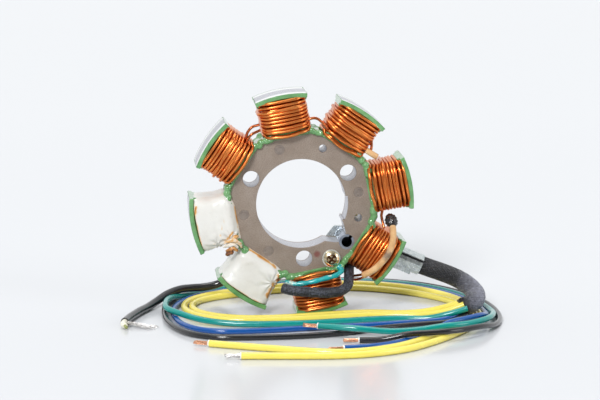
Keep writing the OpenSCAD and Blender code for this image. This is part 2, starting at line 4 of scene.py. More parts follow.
import bmesh
import bpy
import numpy as np
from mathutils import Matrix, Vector, noise


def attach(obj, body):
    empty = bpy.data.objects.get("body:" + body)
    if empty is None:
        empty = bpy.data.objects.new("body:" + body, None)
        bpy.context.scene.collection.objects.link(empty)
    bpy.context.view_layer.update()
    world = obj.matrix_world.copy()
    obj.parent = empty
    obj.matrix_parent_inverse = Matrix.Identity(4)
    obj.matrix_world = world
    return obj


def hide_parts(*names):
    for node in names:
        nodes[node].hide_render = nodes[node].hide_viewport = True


MM = 0.001
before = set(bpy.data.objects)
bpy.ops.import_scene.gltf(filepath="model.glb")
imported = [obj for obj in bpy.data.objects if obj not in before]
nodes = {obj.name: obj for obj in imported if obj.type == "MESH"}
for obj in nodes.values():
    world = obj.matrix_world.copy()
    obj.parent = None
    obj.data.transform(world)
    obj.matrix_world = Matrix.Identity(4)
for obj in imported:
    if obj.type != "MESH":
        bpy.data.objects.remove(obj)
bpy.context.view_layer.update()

# The stator's main sizes in millimetres and degrees, as in the CAD source
STATOR_R = 44.0
CORE_T = 13.0
YOKE_FLAT = 27.0
NECK_HALF = 5.75
NECK_DEPTH = 7.0
POLE_FIRST = 10.9
POLE_STEP = 45.0
POLES = 8
FLOOR_Z = -STATOR_R


def polar(r, degrees):
    """(x, z) in metres of a place on the plate, given in millimetres and degrees."""
    a = math.radians(degrees)
    return r * math.cos(a) * MM, r * math.sin(a) * MM


# Places on the front plate, in metres
SCREW = polar(24.8, -61.7)
SCREW_TOP = -3.3 * MM
PIN = polar(23.7, -40.8)
PIN_BORE = 0.00203

# Sizes of the visible copper turns, in millimetres
COPPER_R = 0.6
OUTER = 2.75
SAG = 1.7


# ---------------------------------------------------------------- camera
def aim(obj, target):
    """Turns a camera or lamp towards a point."""
    obj.rotation_mode = "QUATERNION"
    obj.rotation_quaternion = (Vector(target) - obj.location).to_track_quat("-Z", "Y")


cam_data = bpy.data.cameras.new("camera")
cam_data.lens = 138
cam_data.sensor_width = 36
cam_data.clip_start = 0.05
cam_data.clip_end = 20
camera = bpy.data.objects.new("camera", cam_data)
bpy.context.scene.collection.objects.link(camera)
camera.location = (-0.07725, -0.88295, 0.15628)
aim(camera, (-0.0005, 0, 0.0015))
bpy.context.scene.camera = camera


# ---------------------------------------------------------------- curves and meshes
def smooth(points, steps):
    """A Catmull-Rom line through the points, the same one as the CAD source uses."""
    p = np.array(points, float)
    q = np.vstack([2 * p[0] - p[1], p, 2 * p[-1] - p[-2]])
    out = []
    for i in range(len(p) - 1):
        a, b, c, d = q[i : i + 4]
        for j in range(steps):
            t = j / steps
            out.append(
                0.5 * (2 * b + (c - a) * t + (2 * a - 5 * b + 4 * c - d) * t * t
                       + (3 * b - a - 3 * c + d) * t ** 3)
            )
    out.append(p[-1])
    return np.array(out)


def laid(route, d):
    """Floor routes hold [x, y, lift]: the lift is the height above lying flat."""
    p = np.array(route, float)
    p[:, 2] += FLOOR_Z + d / 2
    return p


def kept_up(path, r):
    """No part of a path of radius r sinks into the floor."""
    path = np.array(path)
    path[:, 2] = np.maximum(path[:, 2], FLOOR_Z + r)
    return path


def unit(v):
    return v / np.linalg.norm(v)


def normals_of(path):
    """Tangents and turned-along normals of a path."""
    last = len(path) - 1
    tangents = np.array([unit(path[min(i + 1, last)] - path[max(i - 1, 0)]) for i in range(len(path))])
    first = np.array([0, 0, 1.0]) if abs(tangents[0][2]) < 0.9 else np.array([1.0, 0, 0])
    n = unit(first - (first @ tangents[0]) * tangents[0])
    found = [n]
    for t in tangents[1:]:
        n = unit(n - (n @ t) * t)
        found.append(n)
    return tangents, np.array(found)


def tube(path, radius, sides=10, closed=False, profile=None):
    """Vertices and faces of a swept tube.

    radius is one number or one per ring, and profile(ring, angles) scales it round the ring.
    """
    path = np.array(path, float)
    tangents, ns = normals_of(path)
    bs = np.cross(tangents, ns)
    rings = len(path)
    radii = np.full(rings, radius, float) if np.isscalar(radius) else np.array(radius, float)
    angles = 2 * math.pi * np.arange(sides) / sides
    verts = np.zeros((rings, sides, 3))
    for i in range(rings):
        r = radii[i] * (np.ones(sides) if profile is None else profile(i, angles))
        across, up = (np.cos(angles) * r)[:, None], (np.sin(angles) * r)[:, None]
        verts[i] = path[i] + across * ns[i] + up * bs[i]
    faces = []
    for i in range(rings if closed else rings - 1):
        j = (i + 1) % rings
        for s in range(sides):
            k = (s + 1) % sides
            faces.append((i * sides + s, i * sides + k, j * sides + k, j * sides + s))
    if not closed:
        faces.append(tuple(reversed(range(sides))))
        faces.append(tuple((rings - 1) * sides + s for s in range(sides)))
    return verts.reshape(-1, 3), faces


def piece(name, parts, materials, also=()):
    """One mesh object of several (vertices, faces[, material index]) parts, in millimetres."""
    verts, faces, index = [], [], []
    for part in parts:
        base = len(verts)
        verts.extend((np.array(part[0]) * MM).tolist())
        faces.extend([tuple(base + v for v in f) for f in part[1]])
        index.extend([part[2] if len(part) > 2 else 0] * len(part[1]))
    mesh = bpy.data.meshes.new(name + "_look")
    mesh.from_pydata(verts, [], faces)
    for m in materials if isinstance(materials, (list, tuple)) else [materials]:
        mesh.materials.append(m)
    mesh.polygons.foreach_set("material_index", index)
    mesh.polygons.foreach_set("use_smooth", [True] * len(mesh.polygons))
    obj = bpy.data.objects.new(name + "_look", mesh)
    bpy.context.scene.collection.objects.link(obj)
    return placed(obj, name, also)


def placed(obj, name, also=()):
    """The object rides on the one body and stands for the CAD node of its name, and for any others."""
    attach(obj, "root")
    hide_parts(name, *also)
    return obj


def wobble(seed, count=5, low=1.0, high=5.0):
    """A smooth seeded curve of one variable, from about -1 to 1."""
    rng = np.random.default_rng(seed)
    w = rng.uniform(low, high, count)
    p = rng.uniform(0, 6.28, count)
    a = rng.uniform(0.4, 1, count)
    a /= a.sum()
    return lambda t: sum(a[i] * math.sin(w[i] * t + p[i]) for i in range(count))


def noise3(p, scale, seed=0):
    """Smooth noise at a point, from -1 to 1; each seed reads another region of it."""
    x, y, z = p[0] * scale + 13.7 * seed, p[1] * scale - 7.1 * seed, p[2] * scale + 3.3 * seed
    return noise.noise(Vector((x, y, z)))


# ---------------------------------------------------------------- materials
class Nodes:
    """A short way to write a node material. Its textures lie in object space, in metres."""

    def __init__(self, name):
        self.mat = bpy.data.materials.new(name)
        self.mat.use_nodes = True
        self.tree = self.mat.node_tree
        self.bsdf = self.tree.nodes["Principled BSDF"]
        self.coords = self.tree.nodes.new("ShaderNodeTexCoord").outputs["Object"]

    def set(self, **values):
        for key, value in values.items():
            self.bsdf.inputs[key.replace("_", " ")].default_value = value
        return self

    def link(self, out, socket):
        self.tree.links.new(out, socket)

    def noise(self, scale, detail=3.0, rough=0.55):
        node = self.tree.nodes.new("ShaderNodeTexNoise")
        node.inputs["Scale"].default_value = scale
        node.inputs["Detail"].default_value = detail
        node.inputs["Roughness"].default_value = rough
        self.link(self.coords, node.inputs["Vector"])
        return node.outputs["Fac"]

    def bands(self, scale, distortion):
        """Bands that follow one another along Y."""
        node = self.tree.nodes.new("ShaderNodeTexWave")
        node.wave_type = "BANDS"
        node.bands_direction = "Y"
        node.inputs["Scale"].default_value = scale
        node.inputs["Distortion"].default_value = distortion
        node.inputs["Detail"].default_value = 1.0
        self.link(self.coords, node.inputs["Vector"])
        return node.outputs["Fac"]

    def maths(self, operation, a, b=0.0):
        node = self.tree.nodes.new("ShaderNodeMath")
        node.operation = operation
        for socket, value in zip(node.inputs, (a, b)):
            if isinstance(value, bpy.types.NodeSocket):
                self.link(value, socket)
            else:
                socket.default_value = value
        return node.outputs["Value"]

    def far(self, x, z, y=None):
        """Distance from a line along Y through (x, z), or from a point, in metres."""
        node = self.tree.nodes.new("ShaderNodeSeparateXYZ")
        self.link(self.coords, node.inputs["Vector"])
        squares = [self.maths("POWER", self.maths("SUBTRACT", node.outputs[axis], value), 2.0)
                   for axis, value in (("X", x), ("Y", y), ("Z", z)) if value is not None]
        total = squares[0]
        for square in squares[1:]:
            total = self.maths("ADD", total, square)
        return self.maths("SQRT", total)

    def attribute(self, name):
        node = self.tree.nodes.new("ShaderNodeAttribute")
        node.attribute_name = name
        return node.outputs["Fac"]

    def ramp(self, fac, stops):
        node = self.tree.nodes.new("ShaderNodeValToRGB")
        while len(node.color_ramp.elements) < len(stops):
            node.color_ramp.elements.new(0.5)
        for element, (at, colour) in zip(node.color_ramp.elements, stops):
            element.position = at
            element.color = (*colour, 1)
        self.link(fac, node.inputs["Fac"])
        return node.outputs["Color"]

    def spread(self, fac, low, high, at=(0.3, 0.7)):
        """low to high, while fac goes through the range at."""
        node = self.tree.nodes.new("ShaderNodeMapRange")
        node.inputs["From Min"].default_value = at[0]
        node.inputs["From Max"].default_value = at[1]
        node.inputs["To Min"].default_value = low
        node.inputs["To Max"].default_value = high
        self.link(fac, node.inputs["Value"])
        return node.outputs["Result"]

    def mix(self, fac, a, b, mode="MIX"):
        node = self.tree.nodes.new("ShaderNodeMix")
        node.data_type = "RGBA"
        node.blend_type = mode
        # Inputs 6 and 7 and output 2 are the node's colours
        for socket, value in ((node.inputs["Factor"], fac), (node.inputs[6], a), (node.inputs[7], b)):
            if isinstance(value, bpy.types.NodeSocket):
                self.link(value, socket)
            else:
                socket.default_value = (*value, 1) if isinstance(value, tuple) else value
        return node.outputs[2]

    def colour(self, out):
        self.link(out, self.bsdf.inputs["Base Color"])
        return self

    def roughness(self, out):
        self.link(out, self.bsdf.inputs["Roughness"])
        return self

    def bump(self, out, distance):
        """Adds a bump on top of the ones before it."""
        node = self.tree.nodes.new("ShaderNodeBump")
        node.inputs["Distance"].default_value = distance
        node.inputs["Strength"].default_value = 1.0
        self.link(out, node.inputs["Height"])
        before = self.bsdf.inputs["Normal"]
        if before.is_linked:
            self.link(before.links[0].from_socket, node.inputs["Normal"])
        self.link(node.outputs["Normal"], before)
        return self


def tinted(colour, k):
    return tuple(min(1.0, c * k) for c in colour)


def plain(name, colour, rough, metal=0.0, coat=0.0, scale=300.0, vary=0.12, bump=0.00003,
          bump_scale=1500.0):
    """Base look: mottled colour, uneven gloss and a fine bump."""
    m = Nodes(name)
    m.set(Metallic=metal, Coat_Weight=coat, Coat_Roughness=0.08)
    m.colour(m.ramp(m.noise(scale), [(0.25, tinted(colour, 1 - vary)), (0.75, tinted(colour, 1 + vary))]))
    m.roughness(m.spread(m.noise(scale * 2.3), max(0.02, rough - 0.08), rough + 0.1))
    m.bump(m.noise(bump_scale), bump)
    return m.mat


def copper():
    m = Nodes("copper_enamel")
    m.set(Metallic=1.0, Coat_Weight=0.12, Coat_Roughness=0.1)
    m.colour(m.ramp(m.noise(120, 3), [
        (0.25, (0.6, 0.15, 0.032)), (0.5, (0.8, 0.25, 0.06)), (0.8, (0.92, 0.35, 0.1)),
    ]))
    m.roughness(m.spread(m.noise(200, 1), 0.27, 0.33))
    return m.mat


def epoxy():
    m = Nodes("green_epoxy")
    m.set(Coat_Weight=0.9, Coat_Roughness=0.05, Specular_IOR_Level=0.6)
    m.colour(m.ramp(m.noise(240, 4), [
        (0.25, (0.09, 0.26, 0.085)), (0.6, (0.155, 0.38, 0.14)), (0.85, (0.26, 0.5, 0.22)),
    ]))
    m.roughness(m.spread(m.noise(500), 0.12, 0.28))
    m.bump(m.noise(300, 3), 0.0002)
    return m.mat


def plate():
    """Dull brown end plate with a red-brown smear beside the screw."""
    m = Nodes("plate_steel")
    m.set(Metallic=0.35)
    fine = m.noise(2600, 5, 0.7)
    patches = m.noise(130, 4)
    base = m.ramp(patches, [
        (0.25, (0.27, 0.215, 0.175)), (0.55, (0.335, 0.275, 0.23)), (0.85, (0.39, 0.33, 0.285)),
    ])
    specks = m.ramp(fine, [(0.3, (0.6, 0.56, 0.52)), (0.5, (1, 1, 1)), (0.72, (1.25, 1.2, 1.15))])
    face = m.mix(1.0, base, specks, "MULTIPLY")
    smear = m.maths("ADD", m.far(0.0062, -0.0202), m.maths("MULTIPLY", m.noise(700, 3), 0.0012))
    face = m.mix(m.spread(smear, 0.75, 0.0, (0.0014, 0.0023)), face, (0.22, 0.045, 0.04))
    # The sheared outer edge is bare, brighter steel
    m.colour(m.mix(m.spread(m.far(0, 0), 0.0, 1.0, (0.0436, 0.0438)), face, (0.8, 0.81, 0.8)))
    m.roughness(m.spread(m.noise(900, 4), 0.42, 0.62))
    m.bump(fine, 0.00003)
    m.bump(m.noise(350, 3), 0.00008)
    return m.mat


def laminations():
    """Bare sheet edges, one band for each sheet."""
    m = Nodes("lamination_steel")
    m.set(Metallic=0.9)
    sheets = m.bands(628, 0.4)
    m.colour(m.ramp(sheets, [(0.1, (0.42, 0.42, 0.45)), (0.4, (0.66, 0.66, 0.7))]))
    m.roughness(m.spread(m.noise(1400, 3), 0.3, 0.5))
    m.bump(sheets, 0.00002)
    return m.mat


def tape():
    """White tape, with resin where the mesh's stain attribute is high."""
    m = Nodes("white_tape")
    m.set(Coat_Weight=0.45, Coat_Roughness=0.14)
    body = m.ramp(m.noise(110, 4), [
        (0.2, (0.7, 0.68, 0.63)), (0.5, (0.79, 0.78, 0.74)), (0.8, (0.84, 0.84, 0.81)),
    ])
    level = m.mix(0.22, m.attribute("stain"), m.noise(700, 4))
    resin = m.ramp(m.attribute("stain"), [
        (0.2, (0.78, 0.62, 0.42)), (0.45, (0.74, 0.4, 0.12)),
        (0.7, (0.5, 0.19, 0.045)), (0.95, (0.16, 0.055, 0.025)),
    ])
    m.colour(m.mix(m.spread(level, 0.0, 1.0, (0.2, 0.46)), body, resin))
    m.roughness(m.spread(m.noise(600), 0.26, 0.46))
    m.bump(m.noise(260, 4), 0.00012)
    return m.mat


def braid():
    """Woven fabric: fine threads, and patches of wear where more of the pale thread shows."""
    m = Nodes("black_braid")
    m.set(Sheen_Weight=0.3, Sheen_Roughness=0.35)
    dark = (0.004, 0.005, 0.008)
    threads = m.ramp(m.noise(1500, 2, 0.7), [(0.42, dark), (0.62, (0.095, 0.105, 0.14))])
    m.colour(m.mix(m.spread(m.noise(150, 3), 0.0, 0.75, (0.45, 0.62)), threads, dark))
    m.roughness(m.spread(m.noise(900), 0.36, 0.6))
    m.bump(m.noise(3000, 3), 0.00012)
    return m.mat


def sleeve_with_painted_sheen():
    """Fibrous black sleeve, with a painted bluish sheen on the outside of its bend."""
    m = Nodes("sleeve_braid")
    m.set(Sheen_Weight=0.2, Sheen_Roughness=0.3)
    fuzz = m.ramp(m.noise(1100, 4, 0.7), [
        (0.4, (0.004, 0.004, 0.006)), (0.6, (0.014, 0.014, 0.018)), (0.72, (0.2, 0.2, 0.24)),
    ])
    painted_sheen = m.ramp(m.noise(700, 3, 0.7), [(0.3, (0.09, 0.09, 0.12)), (0.7, (0.3, 0.31, 0.39))])
    # Painted sheen: lighter bluish grey towards the outside of the bend
    bend = m.maths("ADD", m.far(0.0725, -0.0365), m.maths("MULTIPLY", m.noise(180, 3), 0.006))
    m.colour(m.mix(m.spread(bend, 0.85, 0.0, (0.0065, 0.0135)), fuzz, painted_sheen))
    m.roughness(m.spread(m.noise(900), 0.36, 0.6))
    m.bump(m.noise(1600, 4), 0.0003)
    return m.mat


def clamp():
    """Zinc-plated strip with faint streaks."""
    m = Nodes("clamp_steel")
    m.set(Metallic=0.85)
    m.colour(m.ramp(m.noise(420, 4, 0.7), [
        (0.3, (0.42, 0.48, 0.49)), (0.5, (0.62, 0.67, 0.67)), (0.75, (0.78, 0.82, 0.82)),
    ]))
    m.roughness(m.spread(m.noise(500), 0.2, 0.4))
    return m.mat


def pin():
    """Blued spring steel, with painted shade down its bore."""
    m = Nodes("spring_steel")
    m.set(Metallic=1.0)
    skin = m.ramp(m.noise(300, 2), [(0.3, (0.3, 0.34, 0.42)), (0.7, (0.48, 0.52, 0.6))])
    # Painted shade: the bore is coloured near-black where shade falls inside it
    painted_bore_shade = m.spread(m.far(*PIN), 1.0, 0.0, (PIN_BORE, PIN_BORE + 0.00008))
    m.colour(m.mix(painted_bore_shade, skin, (0.02, 0.02, 0.024)))
    m.roughness(m.spread(m.noise(400), 0.24, 0.36))
    return m.mat


def teal_with_painted_glints():
    """Teal insulation with whitish patches of painted highlight."""
    m = Nodes("teal_insulation")
    m.set(Coat_Weight=0.5, Coat_Roughness=0.1)
    body = m.ramp(m.noise(260, 3), [(0.3, (0.0, 0.3, 0.3)), (0.7, (0.02, 0.46, 0.47))])
    # Painted highlights: whitish patches mixed into the teal
    painted_glints = m.spread(m.noise(330, 3), 0.0, 0.85, (0.56, 0.66))
    m.colour(m.mix(painted_glints, body, (0.72, 0.82, 0.7)))
    m.roughness(m.spread(m.noise(700), 0.16, 0.35))
    m.bump(m.noise(500, 3), 0.0002)
    return m.mat


def tan():
    """Varnished tan sleeving with a smudge half way."""
    m = Nodes("tan_sleeving")
    m.set(Coat_Weight=0.3, Coat_Roughness=0.15)
    body = m.ramp(m.noise(260, 4), [
        (0.2, (0.52, 0.27, 0.11)), (0.5, (0.74, 0.44, 0.2)), (0.8, (0.86, 0.6, 0.34)),
    ])
    smudge = m.maths("ADD", m.far(0.0331, -0.0196), m.maths("MULTIPLY", m.noise(900, 3), 0.003))
    m.colour(m.mix(m.spread(smudge, 0.8, 0.0, (0.0022, 0.0042)), body, (0.16, 0.13, 0.12)))
    m.roughness(m.spread(m.noise(700), 0.25, 0.45))
    m.bump(m.noise(900, 3), 0.00006)
    return m.mat


def screw():
    """Yellow zinc, with painted shade in the cross recess."""
    m = Nodes("zinc_screw")
    m.set(Metallic=1.0)
    body = m.ramp(m.noise(500, 2), [(0.25, (0.62, 0.5, 0.3)), (0.75, (0.86, 0.75, 0.52))])
    # The recess is painted dark as shade; it is what lies deep in the middle of the head, seen from a point
    # in front of it
    deep = m.spread(m.far(*SCREW, SCREW_TOP - 0.003), 0.0, 1.0, (0.00335, 0.0037))
    middle = m.spread(m.far(*SCREW), 1.0, 0.0, (0.0019, 0.0021))
    m.colour(m.mix(m.maths("MULTIPLY", deep, middle), body, (0.13, 0.06, 0.03)))
    m.roughness(m.spread(m.noise(600), 0.2, 0.34))
    return m.mat


def pvc(name, colour):
    """Smooth, shiny wire insulation."""
    return plain(name, colour, 0.2, 0.0, 0.4, 60, 0.06, 0.000008, 500)


M = {
    "copper": copper(),
    "epoxy": epoxy(),
    "plate": plate(),
    "laminations": laminations(),
    "tape": tape(),
    "tan": tan(),
    "black_braid": braid(),
    "sleeve": sleeve_with_painted_sheen(),
    "black_plastic": plain("black_plastic", (0.014, 0.012, 0.013), 0.28, 0, 0.4, 900, 0.8, 0.0002,
                           900),
    "spring": pin(),
    "screw": screw(),
    "clamp": clamp(),
    "rivet": plain("rivet_head", (0.33, 0.275, 0.24), 0.34, 0.6, 0, 500, 0.18, 0.00004, 900),
    "jumper": plain("jumper_enamel", (0.5, 0.13, 0.04), 0.26, 1.0, 0.2, 300, 0.3),
    "bright": plain("zinc_bright", (0.86, 0.88, 0.87), 0.16, 1.0, 0, 200, 0.06),
    "washer": plain("pale_washer", (0.8, 0.82, 0.78), 0.3, 0.8, 0, 300, 0.1),
    "teal": teal_with_painted_glints(),
    "yellow": pvc("yellow_insulation", (0.88, 0.755, 0.13)),
    "green": pvc("green_insulation", (0.0, 0.28, 0.25)),
    "blue": pvc("blue_insulation", (0.002, 0.08, 0.33)),
    "black": pvc("black_insulation", (0.012, 0.012, 0.014)),
    "bare": plain("bare_copper", (0.86, 0.47, 0.3), 0.3, 1.0, 0, 900, 0.2),
    "tinned": plain("tinned_strands", (0.8, 0.78, 0.76), 0.3, 1.0, 0, 900, 0.15),
    "cream": plain("cream_dielectric", (0.82, 0.8, 0.66), 0.4, 0, 0.1, 500, 0.1),
    "olive": plain("olive_core", (0.3, 0.33, 0.1), 0.35, 0, 0.2, 500, 0.2),
    "cut": plain("cut_ring", (0.86, 0.86, 0.84), 0.45, 0, 0, 600, 0.08),
}

# The CAD nodes that show as they are
for name, key in {
    "lamination_stack": "laminations", "front_end_plate": "plate", "rear_end_plate": "plate",
    "core_rivets": "rivet", "spring_pin": "spring", "ground_screw": "screw", "ground_washer": "washer",
    "ground_lug": "bright", "ground_nut": "bright", "pole_coating": "epoxy", "cable_clamp": "clamp",
}.items():
    mesh = nodes[name].data
    mesh.materials.clear()
    mesh.materials.append(M[key])


# ---------------------------------------------------------------- cords
# Floor routes hold (x, y, lift above lying flat), from the sleeve to the stripped end
YELLOW_A = [
    (61.5, -16.8, 6), (54, -14.8, 3.2), (46, -11.5, 1), (37, -8.5, 0), (28, -6.5, 0), (19, -6.5, 0),
    (9, -8.5, 0), (-2, -11, 0), (-14, -12.5, 0), (-25, -11.5, 0), (-34, -7, 0), (-40.5, 1, 0),
    (-42.5, 11, 0), (-40, 20, 0), (-33, 27, 0), (-23, 32.5, 0), (-10, 37.5, 0), (4, 41, 0),
    (18, 42, 0), (30, 39.5, 0), (41, 34, 0), (51, 26, 0), (59.5, 15, 0), (64.5, 3, 0),
    (66, -9, 0), (64, -20, 0), (58.5, -31, 0), (50.5, -42, 0), (41, -53, 0), (31, -62.5, 0),
    (20, -68.5, 0), (8, -70.5, 0), (-4, -67.5, 0), (-16, -62.5, 0), (-28, -57.5, 0), (-39, -52.5, 0),
]
YELLOW_B = [
    (61.8, -19.4, 5.4), (54, -17.8, 2.2), (45.5, -14.5, 0.4), (37, -12, 0), (27, -10.5, 0), (17, -11, 0),
    (8, -12.5, 0), (-3, -15, 0), (-15, -16, 0), (-27, -15, 0), (-37, -10, 0), (-43.5, -1, 0),
    (-45.8, 10, 0), (-43.3, 21.5, 0), (-36.3, 30.3, 0), (-26, 37.3, 0), (-12, 43.5, 0), (4, 48, 0),
    (19, 49.5, 0), (33, 47, 0), (45, 41, 0), (55, 31.5, 0), (63, 19, 0), (67.5, 5, 0),
    (69, -9, 0), (67, -22, 0), (61.8, -34, 0), (53.5, -46, 0), (44, -57.5, 0), (33, -67.5, 0),
    (20, -73.5, 0), (7, -75.5, 0), (-6, -75, 0), (-17, -74, 0), (-28.5, -73, 0),
]
BLUE = [
    (62.4, -18, 2.8), (54, -22, 0.6), (45, -22.8, 0), (35, -25, 0), (24, -27, 0), (12, -28.5, 0),
    (0, -30, 0), (-12, -32, 0), (-24, -33, 0), (-34, -32.5, 0), (-42, -28, 0), (-47.5, -19, 0),
    (-49.8, -8, 0), (-50.4, 3, 0), (-48.7, 14, 0), (-44.8, 24, 0), (-37.7, 33.3, 0), (-27, 40.5, 0),
    (-13, 46.6, 0), (3, 51, 0), (19, 52.5, 0), (33, 50, 0), (46, 44, 0), (56.5, 35, 0),
    (65, 22, 0), (70, 7, 0), (71.6, -7, 0), (71, -17, 0.8), (67.5, -25, 2.6), (60.5, -31, 2.7),
    (53, -35.5, 2.2), (45.5, -42.5, 0), (38, -50.5, 0), (30.5, -57, 0), (21, -61.5, 0), (10, -63.5, 0),
]
GREEN = [
    (62.8, -21.3, 4.4), (55, -20.8, 2.1), (47, -18.8, 0.2), (37, -17, 0), (26, -17.5, 0), (15, -19.5, 0),
    (4, -21.5, 0), (-8, -22.5, 0), (-20, -22, 0), (-31, -20, 0.2), (-41, -16, 1), (-48.5, -10, 2.2),
    (-53, -2, 2.5), (-53, 9, 2.4), (-51, 18.5, 2), (-46, 28.5, 0.6), (-38, 37.5, 0), (-26.5, 44.5, 0),
    (-12, 50.2, 0), (4, 54, 0), (20, 55.3, 0), (34, 52.8, 0), (47.5, 46.5, 0), (58.5, 37, 0),
    (67, 23.5, 0), (72.3, 8, 0), (74.2, -7, 0.3), (73, -20, 1.6), (68.5, -32, 2.6), (60, -39.5, 2.6),
    (50.5, -43, 2.7), (40, -44, 1.6), (29, -43.5, 1.2), (16, -42.5, 2.4), (3, -37.5, 2.4),
]
BLACK = [
    (62.8, -20, 1.8), (55.5, -24.5, 0.2), (46, -27, 0), (35, -30, 0), (24, -34, 0), (12, -39.5, 0),
    (-1, -42.5, 0), (-13, -43.5, 0), (-25, -43.5, 0), (-36, -42, 0), (-45, -35.5, 0), (-50.5, -24.5, 0),
    (-53.2, -12, 0), (-53.8, 0, 0), (-53.4, 12, 0), (-51.5, 22, 0), (-47.5, 31.5, 0), (-39.5, 40.5, 0),
    (-27.5, 47.5, 0), (-12.5, 53.5, 0), (4, 57, 0), (20, 58, 0), (35, 55.5, 0), (49, 49, 0),
    (60, 39.5, 0), (69.5, 25, 0), (74.8, 9, 0), (76.5, -6, 0), (75.7, -19.5, 0), (72, -31.5, 0.4),
    (65, -42, 2.2), (55, -49.5, 2.6), (45, -52.5, 2.6), (35.5, -53.5, 2.4), (26, -52.5, 0.4), (17, -51.5, 0),
]
# The other routes hold (x, y, z)
SLEEVE = [
    (26.5, 21.9, -19.3), (32.5, 21.9, -21.9), (38.4, 21.9, -24.45), (44.4, 21.9, -27),
    (50.3, 21.9, -29.6), (54, 21.6, -31), (58.6, 19.9, -32.4), (62.6, 16.3, -33.5),
    (65.5, 11.8, -34.4), (67.4, 6.4, -35.2), (68.5, 0.6, -35.9), (68.7, -5.2, -36.5),
    (67.6, -10.8, -37.1), (65, -15.8, -37.7), (61.5, -19.2, -38.2),
]
LEAD = [
    (-21, 18.8, -27), (-21.4, 22.5, -28.5), (-22.4, 26.5, -31), (-24.4, 30, -34),
    (-27.6, 32.4, -36.8), (-32, 33.4, -38.8), (-37, 32.8, -39.6), (-42, 30.6, -39.4),
    (-47, 27.2, -39.2), (-52, 22.6, -40), (-56.4, 17, -41.6), (-60, 10.5, -42.4),
    (-63, 4, -42.4), (-65.8, -3, -42.4), (-68, -9.5, -42.4), (-69.6, -15.5, -42.4),
]
SLEEVE_D = 7.4
LEAD_D = 3.2
STRIP = 6.0
STRANDS = 14


def cord_curve(name, path, d, material):
    """A round cord as a bevelled curve."""
    data = bpy.data.curves.new(name + "_look", "CURVE")
    data.dimensions = "3D"
    data.bevel_depth = d / 2 * MM
    data.bevel_resolution = 5
    data.use_fill_caps = True
    spline = data.splines.new("POLY")
    spline.points.add(len(path) - 1)
    for point, co in zip(spline.points, path):
        point.co = (*(co * MM), 1)
    data.materials.append(material)
    obj = bpy.data.objects.new(name + "_look", data)
    bpy.context.scene.collection.objects.link(obj)
    return placed(obj, name)


def strand_bundle(name, wire_path, d, core_d, material, seed):
    """A bundle of fine strands out of a wire's cut end, and the pale ring of the cut."""
    rng = np.random.default_rng(seed)
    end, direction = wire_path[-1], unit(wire_path[-1] - wire_path[-3])
    side = unit(np.cross(direction, (0, 0, 1)))
    up = np.cross(side, direction)
    parts = []
    strand_r = core_d / 9
    for k in range(STRANDS):
        # One strand in the middle, five round it, and the rest outside them
        ring = 0 if k == 0 else (1 if k < 6 else 2)
        a = rng.uniform(0, 6.28) if k == 0 else 6.28 * k / (5 if ring == 1 else STRANDS - 6) + 0.3 * ring
        r0 = [0, 0.24, 0.42][ring] * core_d
        offset = math.cos(a) * side * r0 + math.sin(a) * up * r0
        reach = STRIP * rng.uniform(0.86, 1.0)
        drift = rng.normal(0, 0.175, 2)
        line = []
        for t in np.linspace(-0.1, 1, 9):
            twist = 0.9 * t
            o = math.cos(twist) * offset + math.sin(twist) * np.cross(direction, offset)
            splay = (side * drift[0] + up * abs(drift[1]) * 0.4) * max(t, 0) ** 2
            p = end + direction * reach * t + o + splay
            p[2] = max(p[2], FLOOR_Z + strand_r)
            line.append(p)
        v, f = tube(line, strand_r, 6)
        parts.append((v, f, 0))
    ring_path = [end - direction * 0.35, end + direction * 0.12]
    v, f = tube(ring_path, d / 2 * 1.015, 20)
    parts.append((v, f, 1))
    return piece(name, parts, [material, M["cut"]])


def braided(path, d, crossings, pitch, depth, sides):
    """A tube whose skin is woven of two sets of crossing bands."""
    arc = np.concatenate([[0], np.cumsum(np.linalg.norm(np.diff(path, axis=0), axis=1))])

    def profile(i, angles):
        s = arc[i] / pitch * 2 * math.pi
        one, two = crossings * angles + s, crossings * angles - s
        over = np.sin((one + two) / 2) * np.sin((one - two) / 2) > 0
        h = np.where(over, np.abs(np.cos(one)), np.abs(np.cos(two)))
        return 1 - depth * (1 - h)

    return tube(path, d / 2, sides, profile=profile)


# Name, route, diameter, colour, strands' name, their diameter and kind, and the length in metres
for seed, (name, route, d, key, strands, core_d, strand_key, length) in enumerate((
    ("yellow_wire_a", YELLOW_A, 2.6, "yellow", "yellow_strands_a", 1.5, "bare", 0.411),
    ("yellow_wire_b", YELLOW_B, 2.6, "yellow", "yellow_strands_b", 1.5, "tinned", 0.426),
    ("green_wire", GREEN, 2.4, "green", "green_strands", 1.4, "bare", 0.417),
    ("blue_wire", BLUE, 2.2, "blue", "blue_strands", 1.2, "bare", 0.414),
    ("black_wire", BLACK, 2.2, "black", "black_strands", 1.3, "bare", 0.445),
)):
    path = kept_up(smooth(laid(route, d), 6), d / 2)
    wire = cord_curve(name, path, d, M[key])
    ends = strand_bundle(strands, path, d, core_d, M[strand_key], 100 + seed)

sleeve_path = smooth(SLEEVE, 24)
sleeve = piece("harness_sleeve", [braided(sleeve_path, SLEEVE_D, 12, 4.4, 0.07, 144)],
               M["sleeve"])

lead_path = smooth(LEAD, 8)
lead = cord_curve("pickup_lead", lead_path, LEAD_D, M["black"])


